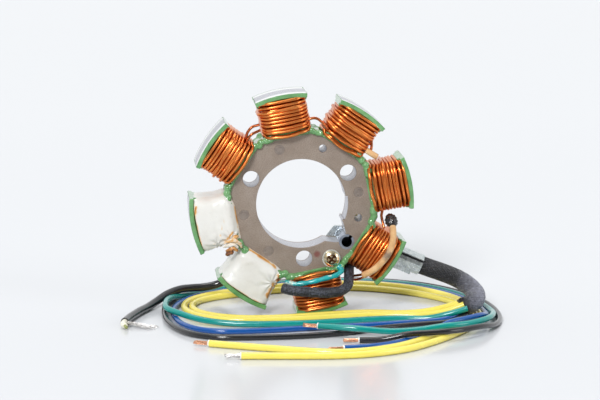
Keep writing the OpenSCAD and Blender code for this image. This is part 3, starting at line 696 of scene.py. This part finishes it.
def lead_end():
    """Inner insulation, core and the frayed screen of the pickup lead."""
    rng = np.random.default_rng(7)
    inner = smooth([(-69.6, -15.5, -42.4), (-70.2, -18.5, -42.5), (-69.6, -21.5, -42.6)], 6)
    cream = piece("lead_dielectric", [tube(inner, 1.15, 16)], M["cream"])
    core = smooth([(-69.6, -21.5, -42.6), (-69, -23.2, -42.9)], 4)
    olive = piece("lead_conductor", [tube(core, 0.6, 12)], M["olive"])
    parts = []
    hairs = 46
    for k in range(hairs):
        t = k / (hairs - 1)
        start = np.array([-69.2, -15.6, -42.6]) + rng.normal(0, 0.5, 3) * (0.7, 0.5, 0.8)
        angle = math.radians(-8 - 28 * t + rng.normal(0, 5))
        reach = rng.uniform(8.5, 13.2)
        across = rng.uniform(-0.9, 0.9)
        line = []
        for s in np.linspace(0, 1, 9):
            x = start[0] + reach * s * math.cos(angle) + 0.3 * math.sin(5 * s + k)
            y = start[1] - 1.2 * s + reach * s * math.sin(angle) + across * math.sin(3.1 * s)
            z = start[2] * (1 - s) + (FLOOR_Z + 0.25 + 0.5 * rng.random()) * s
            line.append((min(x, -56.2), max(y, -26), max(z, FLOOR_Z + 0.1)))
        parts.append(tube(smooth(line, 2), 0.09, 5))
    screen = piece("lead_shield", parts, M["tinned"])
    return [cream, olive, screen]


lead_end()


# ---------------------------------------------------------------- pole coordinates
def at_pole(i, u, v, w):
    """World point of (radial, tangential, axial) pole coordinates; w = 0 is the core's middle plane."""
    a = math.radians(POLE_FIRST + POLE_STEP * i)
    return np.array([
        u * math.cos(a) - v * math.sin(a),
        CORE_T / 2 + w,
        u * math.sin(a) + v * math.cos(a),
    ])


def neck_outline(per_flat=7, per_corner=6, corner=1.2):
    """Points and normals round the coated neck, from the middle of the front, tangential and axial."""
    out = []
    # The sides that each corner is on, and the angle that its arc starts at
    corners = [(1, -1, -90), (1, 1, 0), (-1, 1, 90), (-1, -1, 180)]
    for n, (sv, sw, start) in enumerate(corners):
        cv, cw = sv * (NECK_HALF - corner), sw * (NECK_DEPTH - corner)
        for k in range(per_corner):
            a = math.radians(start + 90 * k / (per_corner - 1))
            out.append((cv + corner * math.cos(a), cw + corner * math.sin(a), math.cos(a), math.sin(a)))
        nv, nw, nstart = corners[(n + 1) % 4]
        ev, ew = nv * (NECK_HALF - corner), nw * (NECK_DEPTH - corner)
        a = math.radians(start + 90)
        p0 = np.array(out[-1][:2])
        first = math.radians(nstart)
        p1 = np.array([ev + corner * math.cos(first), ew + corner * math.sin(first)])
        for k in range(1, per_flat):
            p = p0 + (p1 - p0) * k / per_flat
            out.append((p[0], p[1], math.cos(a), math.sin(a)))
    return out[-(per_flat // 2):] + out[: -(per_flat // 2)]


OUTLINE = neck_outline()
OUT_N = len(OUTLINE)


def winding_path(i, seed, layer, turns, u0, u1, loose):
    """Turns round the neck at a layer's height, uneven as wound by hand, with the ends tucked in behind."""
    rng = np.random.default_rng(seed)
    du, dh = wobble(seed + 1, 6, 0.15, 0.9), wobble(seed + 2, 6, 0.2, 1.2)
    jump = rng.normal(0, 0.13 * loose, turns + 3)
    rise = np.abs(rng.normal(0, 0.2 * loose, turns + 3))
    half = OUT_N // 2
    total = turns * OUT_N
    path = []
    for m in range(total + 1):
        # k is the turn, s the point on the outline, and f and t the way through the turn and the winding
        n = m - half
        k, s = divmod(n, OUT_N)
        f = s / OUT_N
        t = n / OUT_N
        v, w, nv, nw = OUTLINE[s]
        # Each turn crosses over to the next on the far side
        step = 0.5 - 0.5 * math.cos(math.pi * min(1, max(0, (f - 0.3) / 0.4)))
        at = (k + step) / (turns - 1)
        u = u0 + (u1 - u0) * at + (1 - f) * jump[k + 1] + f * jump[k + 2] + 0.16 * loose * du(6.28 * t * 0.9)
        h = layer + (1 - f) * rise[k + 1] + f * rise[k + 2] + 0.1 * loose * dh(6.28 * t)
        h -= 1.6 * max(0.0, 1 - min(m, total - m) / 10)
        # The flats bow out between the corners
        if abs(nw) > 0.9:
            h += 0.55 * max(0.0, 1 - (v / NECK_HALF) ** 2)
        else:
            h += 0.25 * max(0.0, 1 - (w / NECK_DEPTH) ** 2)
        # The turns next to the yoke sag inwards over its faces, and the last ones lean on the tip
        if abs(nw) > 0.5:
            u -= SAG * math.exp(-max(0.0, k + step) / 1.7) * max(0.0, 1 - (v / (NECK_HALF + 3)) ** 2)
            u += 0.85 * math.exp(-max(0.0, turns - 1 - k - step) / 1.3)
        path.append(at_pole(i, u, v + nv * h * 1.12, w + nw * h))
    return np.array(path)


def crossing(i, seed, u_from, u_to, start, span, height):
    """A stray turn that crosses the others."""
    path = []
    n = int(span * OUT_N)
    for k in range(n + 1):
        v, w, nv, nw = OUTLINE[(start + k) % OUT_N]
        t = k / n
        u = u_from + (u_to - u_from) * (3 * t * t - 2 * t ** 3)
        dive = 0.85 * (1 - math.sin(math.pi * t) ** 0.35)
        path.append(at_pole(i, u, v + nv * (height - dive) * 1.12, w + nw * (height - dive)))
    return np.array(path)


def filler(i, off):
    """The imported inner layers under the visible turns."""
    verts, faces = [], []
    for u in (29.2, 41.2):
        for v, w, nv, nw in OUTLINE:
            verts.append(at_pole(i, u, v + nv * off * 1.12, w + nw * off))
    for s in range(OUT_N):
        k = (s + 1) % OUT_N
        faces.append((s, OUT_N + s, OUT_N + k, k))
    faces.append(tuple(range(OUT_N)))
    faces.append(tuple(reversed(range(OUT_N, 2 * OUT_N))))
    return verts, faces


# Each winding's pole, and its stray turns: where they start and end, on which point, and how far they go
for name, i, crossings in (
    ("winding_right", 0, [(33.0, 34.6, 40, 0.55)]),
    ("winding_upper_right", 1, [(31.0, 34.2, 42, 0.55), (36.0, 38.4, 40, 0.6)]),
    ("winding_top", 2, [(38.6, 37.2, 42, 0.55)]),
    ("winding_upper_left", 3, [(36.8, 33.4, 40, 0.6), (32.4, 30.6, 44, 0.55)]),
    ("winding_bottom", 6, []),
    ("winding_lower_right", 7, [(38.0, 36.2, 42, 0.6)]),
):
    seed = 40 + 10 * i
    parts = [filler(i, 1.3)]
    parts.append(tube(winding_path(i, seed, OUTER - 1.0, 11, 29.6, 40.5, 0.35), COPPER_R, 8))
    parts.append(tube(winding_path(i, seed + 5, OUTER, 10, 29.4, 40.7, 1.0), COPPER_R, 12))
    for n, (ua, ub, start, span) in enumerate(crossings):
        parts.append(tube(crossing(i, seed + n, ua, ub, start, span, OUTER + 0.85), COPPER_R, 12))
    piece(name, parts, M["copper"])


# ---------------------------------------------------------------- tape wraps
def line_distance(p, a, b):
    """Distance from a point to a line between two points."""
    a, b = np.array(a), np.array(b)
    t = min(1.0, max(0.0, float((p - a) @ (b - a)) / max(1e-9, float((b - a) @ (b - a)))))
    return float(np.linalg.norm(p - a - t * (b - a)))


def wrap(name, i, pull, stains, folds):
    """A varnished tape wrap, plump, with creases fanning from some of its corners.

    pull slants its inner end. A stain is a line's two ends, its reach and its strength. A fold is a
    point, its reach and how many creases fan out from it.
    """
    rows, around = 72, 192
    u_in, u_out = 25.7, 41.3
    verts, faces, stain = [], [], []
    for a in range(rows + 1):
        t = a / rows
        u = u_in + (u_out - u_in) * t
        grow = 1 - (1 - min(1, t / 0.26)) ** 2
        half_w = 6.9 + (10.5 - 6.9) * grow - 0.3 * math.sin(math.pi * t)
        half_v = 9.0 + (11.1 - 9.0) * grow - 0.7 * math.sin(math.pi * min(1, t * 1.1)) * grow
        lip = max(0.0, (t - 0.92) / 0.08)
        for b in range(around):
            ang = 2 * math.pi * b / around
            c, s = math.cos(ang), math.sin(ang)
            power = 2 / 4.2
            v = half_v * math.copysign(abs(c) ** power, c)
            w = half_w * math.copysign(abs(s) ** power, s)
            v += pull * (1 - grow) * 1.6
            p = at_pole(i, u + 0.4 * lip * math.sin(3 * ang), v, w)
            out = at_pole(i, u, c * abs(c) ** 0.6 / half_v, s * abs(s) ** 0.6 / half_w)
            n = unit(out - at_pole(i, u, 0, 0))
            lump = 0.3 * noise3(p, 0.13, i) + 0.12 * noise3(p, 0.45, i + 3)
            ridge = 0.0
            for x, y, z, reach, count in folds:
                d = math.dist(p, (x, y, z))
                turn = math.atan2(p[2] - z, p[0] - x)
                crease = math.sin(count * turn + 2 * noise3(p, 0.3, 9))
                ridge += 0.42 * math.exp(-d / reach) * crease * min(1, d / 1.5)
            verts.append(p + n * (lump + ridge - 0.15))
            level = 0.0
            for start, end, reach, strength in stains:
                ragged = 1 + 0.6 * noise3(p, 0.7, 5) + 0.25 * noise3(p, 2.1, 6)
                d = line_distance(p, start, end) * ragged
                level = max(level, strength * math.exp(-((d / reach) ** 2)))
            # Resin also runs along both ends
            seep = 0.55 + 0.45 * noise3(p, 0.5, i + 11)
            level = max(level, 0.5 * seep * math.exp(-((u - u_in) / 0.8) ** 2))
            level = max(level, 0.62 * seep * math.exp(-((u_out + 0.1 - u) / 0.5) ** 2))
            stain.append(min(1.0, level))
    for a in range(rows):
        for b in range(around):
            k = (b + 1) % around
            faces.append((a * around + b, a * around + k, (a + 1) * around + k, (a + 1) * around + b))
    faces.append(tuple(reversed(range(around))))
    faces.append(tuple(rows * around + b for b in range(around)))
    hidden = name.replace("coil_tape", "exciter_coil")
    return stained(piece(name, [(verts, faces)], M["tape"], [hidden]), stain)


def stained(obj, values):
    """Gives the mesh its stain attribute, one value for each vertex."""
    attribute = obj.data.attributes.new("stain", "FLOAT", "POINT")
    attribute.data.foreach_set("value", values)
    return obj


wrap("coil_tape_left", 4, 1.0, [
    ((-36, -3.6, -17.0), (-32.6, -3.9, -15.6), 1.0, 0.62),
    ((-32.6, -3.9, -15.6), (-28.4, -4, -13.6), 1.2, 0.6),
    ((-33.2, -3.9, -15.4), (-31.9, -4, -11.4), 0.45, 0.6),
    ((-31.9, -4, -11.4), (-30.6, -4, -5.8), 0.26, 0.5),
    ((-29.5, -3.9, -13.4), (-27.0, -3.4, -10.2), 0.5, 0.55),
    ((-27.6, -3, -13.6), (-25.4, -1.6, -12.4), 1.0, 0.55),
    ((-25.9, -0.6, -9.6), (-25.9, -0.6, -1.0), 0.75, 0.62),
    ((-25.6, -0.6, -6.5), (-25.5, -0.6, -4.5), 1.1, 0.7),
    ((-41.6, -3.6, -3.0), (-41.2, -3.6, 6.6), 0.45, 0.8),
    ((-40.0, -3.6, -13.0), (-38.4, -3.6, -18.4), 0.5, 0.6),
    ((-35.0, 0, -18.6), (-29.0, 0, -16.4), 1.3, 0.5),
], [(-27.5, -3, -13.5, 5.0, 9), (-33, -2, -15.5, 3.5, 7)])
wrap("coil_tape_lower_left", 5, -0.4, [
    ((-20.6, -1.0, -17.4), (-15.6, -1.0, -21.0), 0.7, 0.62),
    ((-16.8, -1.0, -20.0), (-10.6, -1.0, -25.4), 0.9, 0.75),
    ((-10.4, -1.4, -29.4), (-13.8, -2.0, -36.0), 1.2, 0.72),
    ((-9.6, -1.6, -28.6), (-9.0, -1.6, -30.6), 1.3, 0.95),
    ((-9.4, 2, -29.6), (-13.6, 2, -36.4), 1.4, 0.9),
    ((-14.2, -2.0, -36.6), (-18.6, -3.0, -37.6), 0.7, 0.5),
    ((-28.4, -2.6, -17.6), (-26.2, -2.4, -19.6), 1.1, 0.98),
    ((-26.0, -3.0, -15.6), (-25.0, -3.0, -18.0), 0.9, 0.45),
    ((-33.6, -3.4, -26.4), (-33.0, -3.4, -27.2), 0.6, 0.6),
    ((-17.2, -4.2, -28.4), (-16.6, -4.2, -28.9), 0.35, 0.3),
], [(-26, -3, -14.5, 4.5, 8), (-11.5, -2, -31, 4.5, 9)])


def varnish(folds):
    """Hardened folds of varnished tape bridging the two wraps: points, width, thickness and stain."""
    parts, values = [], []
    sides = 14
    for k, (points, wide, thick, level) in enumerate(folds):
        path = smooth(points, 8)
        count = len(path)
        radii = [wide * (0.35 + 0.65 * math.sin(math.pi * (m + 0.6) / (count + 0.2))) for m in range(count)]
        v, f = tube(path, radii, sides,
                    profile=lambda ring, a, k=k: 1 + 0.22 * np.sin(3 * a + 0.5 * ring + k))
        middle = path[np.arange(len(v)) // sides][:, 1]
        v[:, 1] = middle + (v[:, 1] - middle) * thick / wide
        parts.append((v, f))
        values += [min(1.0, level * (1 + 0.5 * noise3(p, 1.2, k))) for p in v]
    return stained(piece("tape_varnish", parts, M["tape"]), values)


varnish((
    ([(-30.6, -4.2, -14.6), (-28.4, -4.9, -13.4), (-26.4, -4.9, -13.3), (-24.6, -4.3, -14.6),
      (-23.6, -3.4, -16.4)], 0.85, 0.5, 0.36),
    ([(-31.0, -3.6, -16.2), (-28.8, -4.4, -15.3), (-26.6, -4.6, -15.0), (-25.0, -4.1, -16.2)],
     0.75, 0.5, 0.22),
    ([(-29.8, -3.2, -17.8), (-28.0, -4.0, -16.8), (-26.4, -4.2, -16.7), (-25.2, -3.6, -17.8)],
     0.8, 0.55, 0.7),
    ([(-27.6, -4.2, -13.0), (-26.2, -4.6, -11.9), (-24.9, -3.9, -11.6)], 0.7, 0.5, 0.5),
    ([(-29.6, -2.0, -19.6), (-28.2, -2.9, -18.4), (-26.8, -3.2, -17.9)], 1.1, 0.7, 0.95),
))


# ---------------------------------------------------------------- green rim
def rim_bead(y, seed):
    """Path, radii and lumps of the epoxy bead along the yoke's edge, thick between the poles."""
    rng = np.random.default_rng(seed)
    phase = rng.uniform(0, 6.28, 8)
    path, radii, blobs = [], [], []
    count = 720
    for k in range(count):
        degrees = 360 * k / count
        a = math.radians(degrees)
        off = (degrees - POLE_FIRST + POLE_STEP / 2) % POLE_STEP - POLE_STEP / 2
        near = abs(off) / (POLE_STEP / 2)
        r = min((YOKE_FLAT + 0.15) / math.cos(math.radians(off)), YOKE_FLAT + 1.75)
        lump = min(1.0, max(0.0, (near - 0.5) / 0.3))
        swell = 0.5 + 0.5 * math.sin(a * 31 + phase[0]) * math.sin(a * 17 + phase[1])
        radii.append(0.42 + 0.62 * lump * (0.6 + 0.5 * swell) + 0.1 * math.sin(a * 61 + phase[2]))
        r += 0.5 * lump * (swell - 0.3)
        path.append((r * math.cos(a), y, r * math.sin(a)))
    for corner in range(POLES):
        middle = POLE_FIRST + POLE_STEP * (corner + 0.5)
        for n in range(8):
            a = math.radians(middle + (n - 3.5) * 3.0 + rng.uniform(-1, 1))
            r = YOKE_FLAT + 1.6 + rng.uniform(-0.4, 1.1)
            outward = -0.55 if y < CORE_T / 2 else 0.55
            blobs.append((np.array([r * math.cos(a), y + outward + rng.uniform(-0.3, 0.3), r * math.sin(a)]),
                          rng.uniform(1.0, 1.75)))
    return np.array(path), radii, blobs


def ball(centre, r):
    """A ball of nine rings and ten sides."""
    angles = [math.pi * (k + 0.3) / 8.6 for k in range(9)]
    path = [centre + np.array([0, 1, 0]) * r * math.cos(a) for a in angles]
    return tube(path, [r * math.sin(a) for a in angles], 10)


def melted(name, parts, voxel, smoothing, material):
    """Joins parts and the CAD node's mesh, and melts them into one skin."""
    obj = piece(name, parts, material)
    bm = bmesh.new()
    bm.from_mesh(obj.data)
    bm.from_mesh(nodes[name].data)
    bmesh.ops.remove_doubles(bm, verts=bm.verts, dist=1e-6)
    bm.to_mesh(obj.data)
    bm.free()
    remesh = obj.modifiers.new("melt", "REMESH")
    remesh.mode = "VOXEL"
    remesh.voxel_size = voxel * MM
    remesh.use_smooth_shade = True
    relax = obj.modifiers.new("relax", "SMOOTH")
    relax.iterations = smoothing
    relax.factor = 0.5
    return obj


rim_parts = []
for y, seed in ((-0.1, 3), (CORE_T + 0.1, 4)):
    path, radii, blobs = rim_bead(y, seed)
    rim_parts.append(tube(path, radii, 14, closed=True))
    rim_parts += [ball(centre, r) for centre, r in blobs]
melted("rim_coating", rim_parts, 0.27, 3, M["epoxy"])


# ---------------------------------------------------------------- small leads
def lines(name, routes, r, material, sides=14):
    """A piece of round wires or sleevings, one for each route."""
    return piece(name, [tube(smooth(p, 8), r, sides) for p in routes], material)


lines("coil_jumpers", [
    [(-21.6, -1, 25.6), (-21.2, -2.4, 28.6), (-19.4, -2.8, 30.9), (-16.6, -1.6, 31.6)],
    [(-21.6, -2, 24.6), (-19.9, -3.4, 27.9), (-16.2, -2.4, 29.6)],
    [(0.4, -1.6, 31.6), (2.7, -2.8, 33.7), (5.5, -2.9, 34.1), (7.9, -2.6, 32.4), (10.2, -2.4, 29.8)],
    [(27.3, -1, 25.4), (27.4, -1.3, 22.6), (27, -1, 20.4)],
    [(32.2, -0.8, -2), (31.5, -1, -4.8), (31.9, -1.6, -7.4), (32.4, -2.6, -9.8)],
], 0.55, M["jumper"])
lines("splice_sleeve", [[
    (25.3, -1, 21.1), (27.4, -1.2, 19.7), (29.6, -1, 18.3),
]], 1.2, M["tan"])
lines("lead_sleeving", [[
    (35.1, -6.4, -7.6), (35.5, -6.8, -11.4), (35, -6.9, -15.5), (33.4, -6.9, -19.5), (30.6, -6.7, -23),
    (27.4, -6, -26), (23.9, -4.6, -28.1),
]], 1.3, M["tan"], 20)
cap = smooth([(34.2, -2.7, -4.8), (34.7, -4.4, -6), (35, -5.8, -7.1), (35.1, -6.9, -8.3)], 7)
cap_last = len(cap) - 1
cap_r = [2.45 * math.sin(math.pi * (0.1 + 0.8 * k / cap_last)) ** 0.55 for k in range(cap_last + 1)]


def cap_profile(ring, angles):
    return 0.96 + 0.09 * np.sin(5 * angles + 0.9 * ring) + 0.06 * np.sin(8 * angles - 1.1 * ring)


piece("sleeving_cap", [tube(cap, cap_r, 28, profile=cap_profile)], M["black_plastic"])
lines("coil_lead", [
    [(23.9, -4.6, -27.7), (21.6, -2, -28.6), (19.8, 1.5, -29.4), (19, 6, -29.6)],
    [(23.9, -4.6, -28.9), (22.2, -1, -30.4), (20.8, 3, -31.2), (20, 7, -31.2)],
], 0.5, M["jumper"])
woven_path = smooth([
    (19.5, 9, -25.5), (19.4, 5, -26.2), (19, 1.5, -27.4), (18.6, -2, -29.6), (17.6, -5.2, -32.2),
    (14, -6.6, -34), (8, -6.8, -34.3), (1, -6.8, -33.8), (-4.2, -6.4, -33.2), (-7.6, -4.6, -32.6),
], 22)
piece("woven_sleeving", [braided(woven_path, 4.0, 8, 2.6, 0.08, 80)], M["black_braid"])
ground = smooth([
    (14.6, -1.6, -24.9), (15.6, -2.8, -26.4), (13.1, -4, -28.1), (8.7, -5, -29), (3.5, -5, -30.3),
    (-2.4, -4.4, -31.2), (-4.4, -3.4, -31), (-6.2, -2.4, -30.8),
], 8)
ground_r = [1.0 + 0.08 * math.sin(k * 0.9) + 0.25 * math.exp(-k / 4) for k in range(len(ground))]
piece("ground_wire", [tube(ground, ground_r, 16)], M["teal"])
for name, key, route in (
    ("rear_lead_yellow_a", "yellow", [
        (26.3, 23, -18.4), (24, 19.8, -13), (26.4, 16.6, -6.6), (27.6, 15.4, 0), (29.6, 15.6, 4.6),
    ]),
    ("rear_lead_yellow_b", "yellow", [
        (26.2, 21.4, -18), (22.4, 19.2, -11.4), (24.3, 17, -4.6), (25.7, 16.4, 3), (24.9, 16, 10),
        (21.8, 15.8, 16.4), (18.4, 15.9, 21.2), (16.6, 16.2, 24.8),
    ]),
    ("rear_lead_green", "green", [
        (26.1, 20.4, -19.8), (22.8, 18.6, -20.6), (18.4, 17, -20.9), (14.6, 15.8, -21),
    ]),
    ("rear_lead_blue", "blue", [
        (26.2, 21.6, -20.6), (21, 19.4, -22.8), (14, 17.2, -24.8), (6, 16.2, -26.4), (-2, 16.6, -26.9),
        (-9, 18.2, -25.4), (-15.5, 18.3, -22), (-20.6, 18.3, -17.2), (-25, 18.2, -10.8),
        (-27.6, 17.2, -7.2),
    ]),
    ("rear_lead_black", "black", [
        (26.3, 23, -20), (19, 21, -24.8), (11, 18.8, -27.4), (3, 18, -28.9), (-4, 18, -28.8),
        (-10, 18.4, -28.2), (-14.5, 17.2, -26.4),
    ]),
):
    lines(name, [route], 1.0, M[key])


# ---------------------------------------------------------------- edges of the CAD nodes
for name, width in (
    ("front_end_plate", 0.2), ("rear_end_plate", 0.2), ("lamination_stack", 0.05),
    ("pole_coating", 0.38), ("ground_washer", 0.12), ("ground_lug", 0.1), ("ground_nut", 0.15),
    ("cable_clamp", 0.15), ("spring_pin", 0.15), ("ground_screw", 0.12),
):
    weld = nodes[name].modifiers.new("weld", "WELD")
    weld.merge_threshold = 2e-6
    bevel = nodes[name].modifiers.new("bevel", "BEVEL")
    bevel.width = width * MM
    bevel.segments = 3
    bevel.limit_method = "ANGLE"
    bevel.angle_limit = math.radians(40)

# ---------------------------------------------------------------- floor and light
floor_mat = Nodes("floor")
floor_mat.set(Base_Color=(0.66, 0.675, 0.7, 1), Roughness=0.16, Specular_IOR_Level=0.45)
floor_mesh = bpy.data.meshes.new("floor")
floor_corners = [(x, y, FLOOR_Z * MM) for x, y in ((-6, -3), (6, -3), (6, 9), (-6, 9))]
floor_mesh.from_pydata(floor_corners, [], [(0, 1, 2, 3)])
floor_mesh.materials.append(floor_mat.mat)
floor = bpy.data.objects.new("floor", floor_mesh)
bpy.context.scene.collection.objects.link(floor)

# The studio: a plain backdrop for the camera, bright behind and above, dimmer on the camera's side
world = bpy.data.worlds.new("studio")
world.use_nodes = True
sky = world.node_tree
backdrop = sky.nodes["Background"]
backdrop.inputs["Color"].default_value = (0.915, 0.93, 0.965, 1)
light = sky.nodes.new("ShaderNodeBackground")
light.inputs["Color"].default_value = (0.97, 0.985, 1.0, 1)
direction = sky.nodes.new("ShaderNodeTexCoord").outputs["Generated"]
axes = sky.nodes.new("ShaderNodeSeparateXYZ")
sky.links.new(direction, axes.inputs["Vector"])
fade = sky.nodes.new("ShaderNodeMapRange")
for socket, value in zip(("From Min", "From Max", "To Min", "To Max"), (-0.8, 0.2, 0.08, 0.93)):
    fade.inputs[socket].default_value = value
sky.links.new(axes.outputs["Y"], fade.inputs["Value"])
sky.links.new(fade.outputs["Result"], light.inputs["Strength"])
either = sky.nodes.new("ShaderNodeMixShader")
sky.links.new(sky.nodes.new("ShaderNodeLightPath").outputs["Is Camera Ray"], either.inputs["Fac"])
sky.links.new(light.outputs["Background"], either.inputs[1])
sky.links.new(backdrop.outputs["Background"], either.inputs[2])
sky.links.new(either.outputs["Shader"], sky.nodes["World Output"].inputs["Surface"])
bpy.context.scene.world = world


def sunlight(name, towards, strength, spread):
    """An even light from far away, as wide in the sky as a studio softbox."""
    data = bpy.data.lights.new(name, "SUN")
    data.energy = strength
    data.angle = math.radians(spread)
    lamp = bpy.data.objects.new(name, data)
    bpy.context.scene.collection.objects.link(lamp)
    lamp.location = towards
    aim(lamp, (0, 0, 0))


sunlight("key", (-0.34, -0.8, 0.52), 2.3, 16)
sunlight("fill", (0.85, -0.55, 0.35), 0.6, 24)
sunlight("top", (0, 0.25, 1.1), 0.9, 40)
bpy.context.scene.view_settings.view_transform = "Standard"
